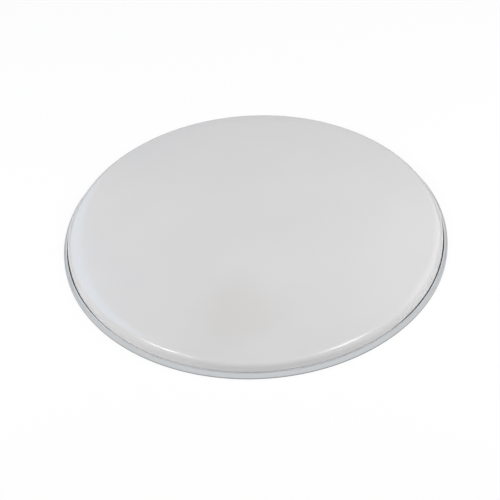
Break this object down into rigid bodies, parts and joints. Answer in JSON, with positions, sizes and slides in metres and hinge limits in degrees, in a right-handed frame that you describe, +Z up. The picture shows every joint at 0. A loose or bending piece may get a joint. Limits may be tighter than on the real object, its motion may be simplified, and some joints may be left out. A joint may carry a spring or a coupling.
{
  "type": "drum head",
  "caption": "Round film drum head: flat playing surface, rounded crown and upright collar, with its hem locked in a rolled metal hoop that goes over a bass drum's shell.",
  "frame": {"origin": "centre of the plane that the hoop's underside stands on", "axes": "+Z up along the head's axis, from the hoop's underside towards the playing surface"},
  "size_m": [0.578, 0.578, 0.0229],
  "materials": {
    "film": "smooth white polyester film, soft gloss",
    "hoop": "bright roll-formed strip",
    "insert": "mill finish",
    "adhesive": "cured amber adhesive"
  },
  "bodies": {
    "root": {"film_head": "film", "flesh_hoop": "hoop", "insert_ring": "insert", "adhesive_bed": "adhesive"}
  },
  "joints": []
}
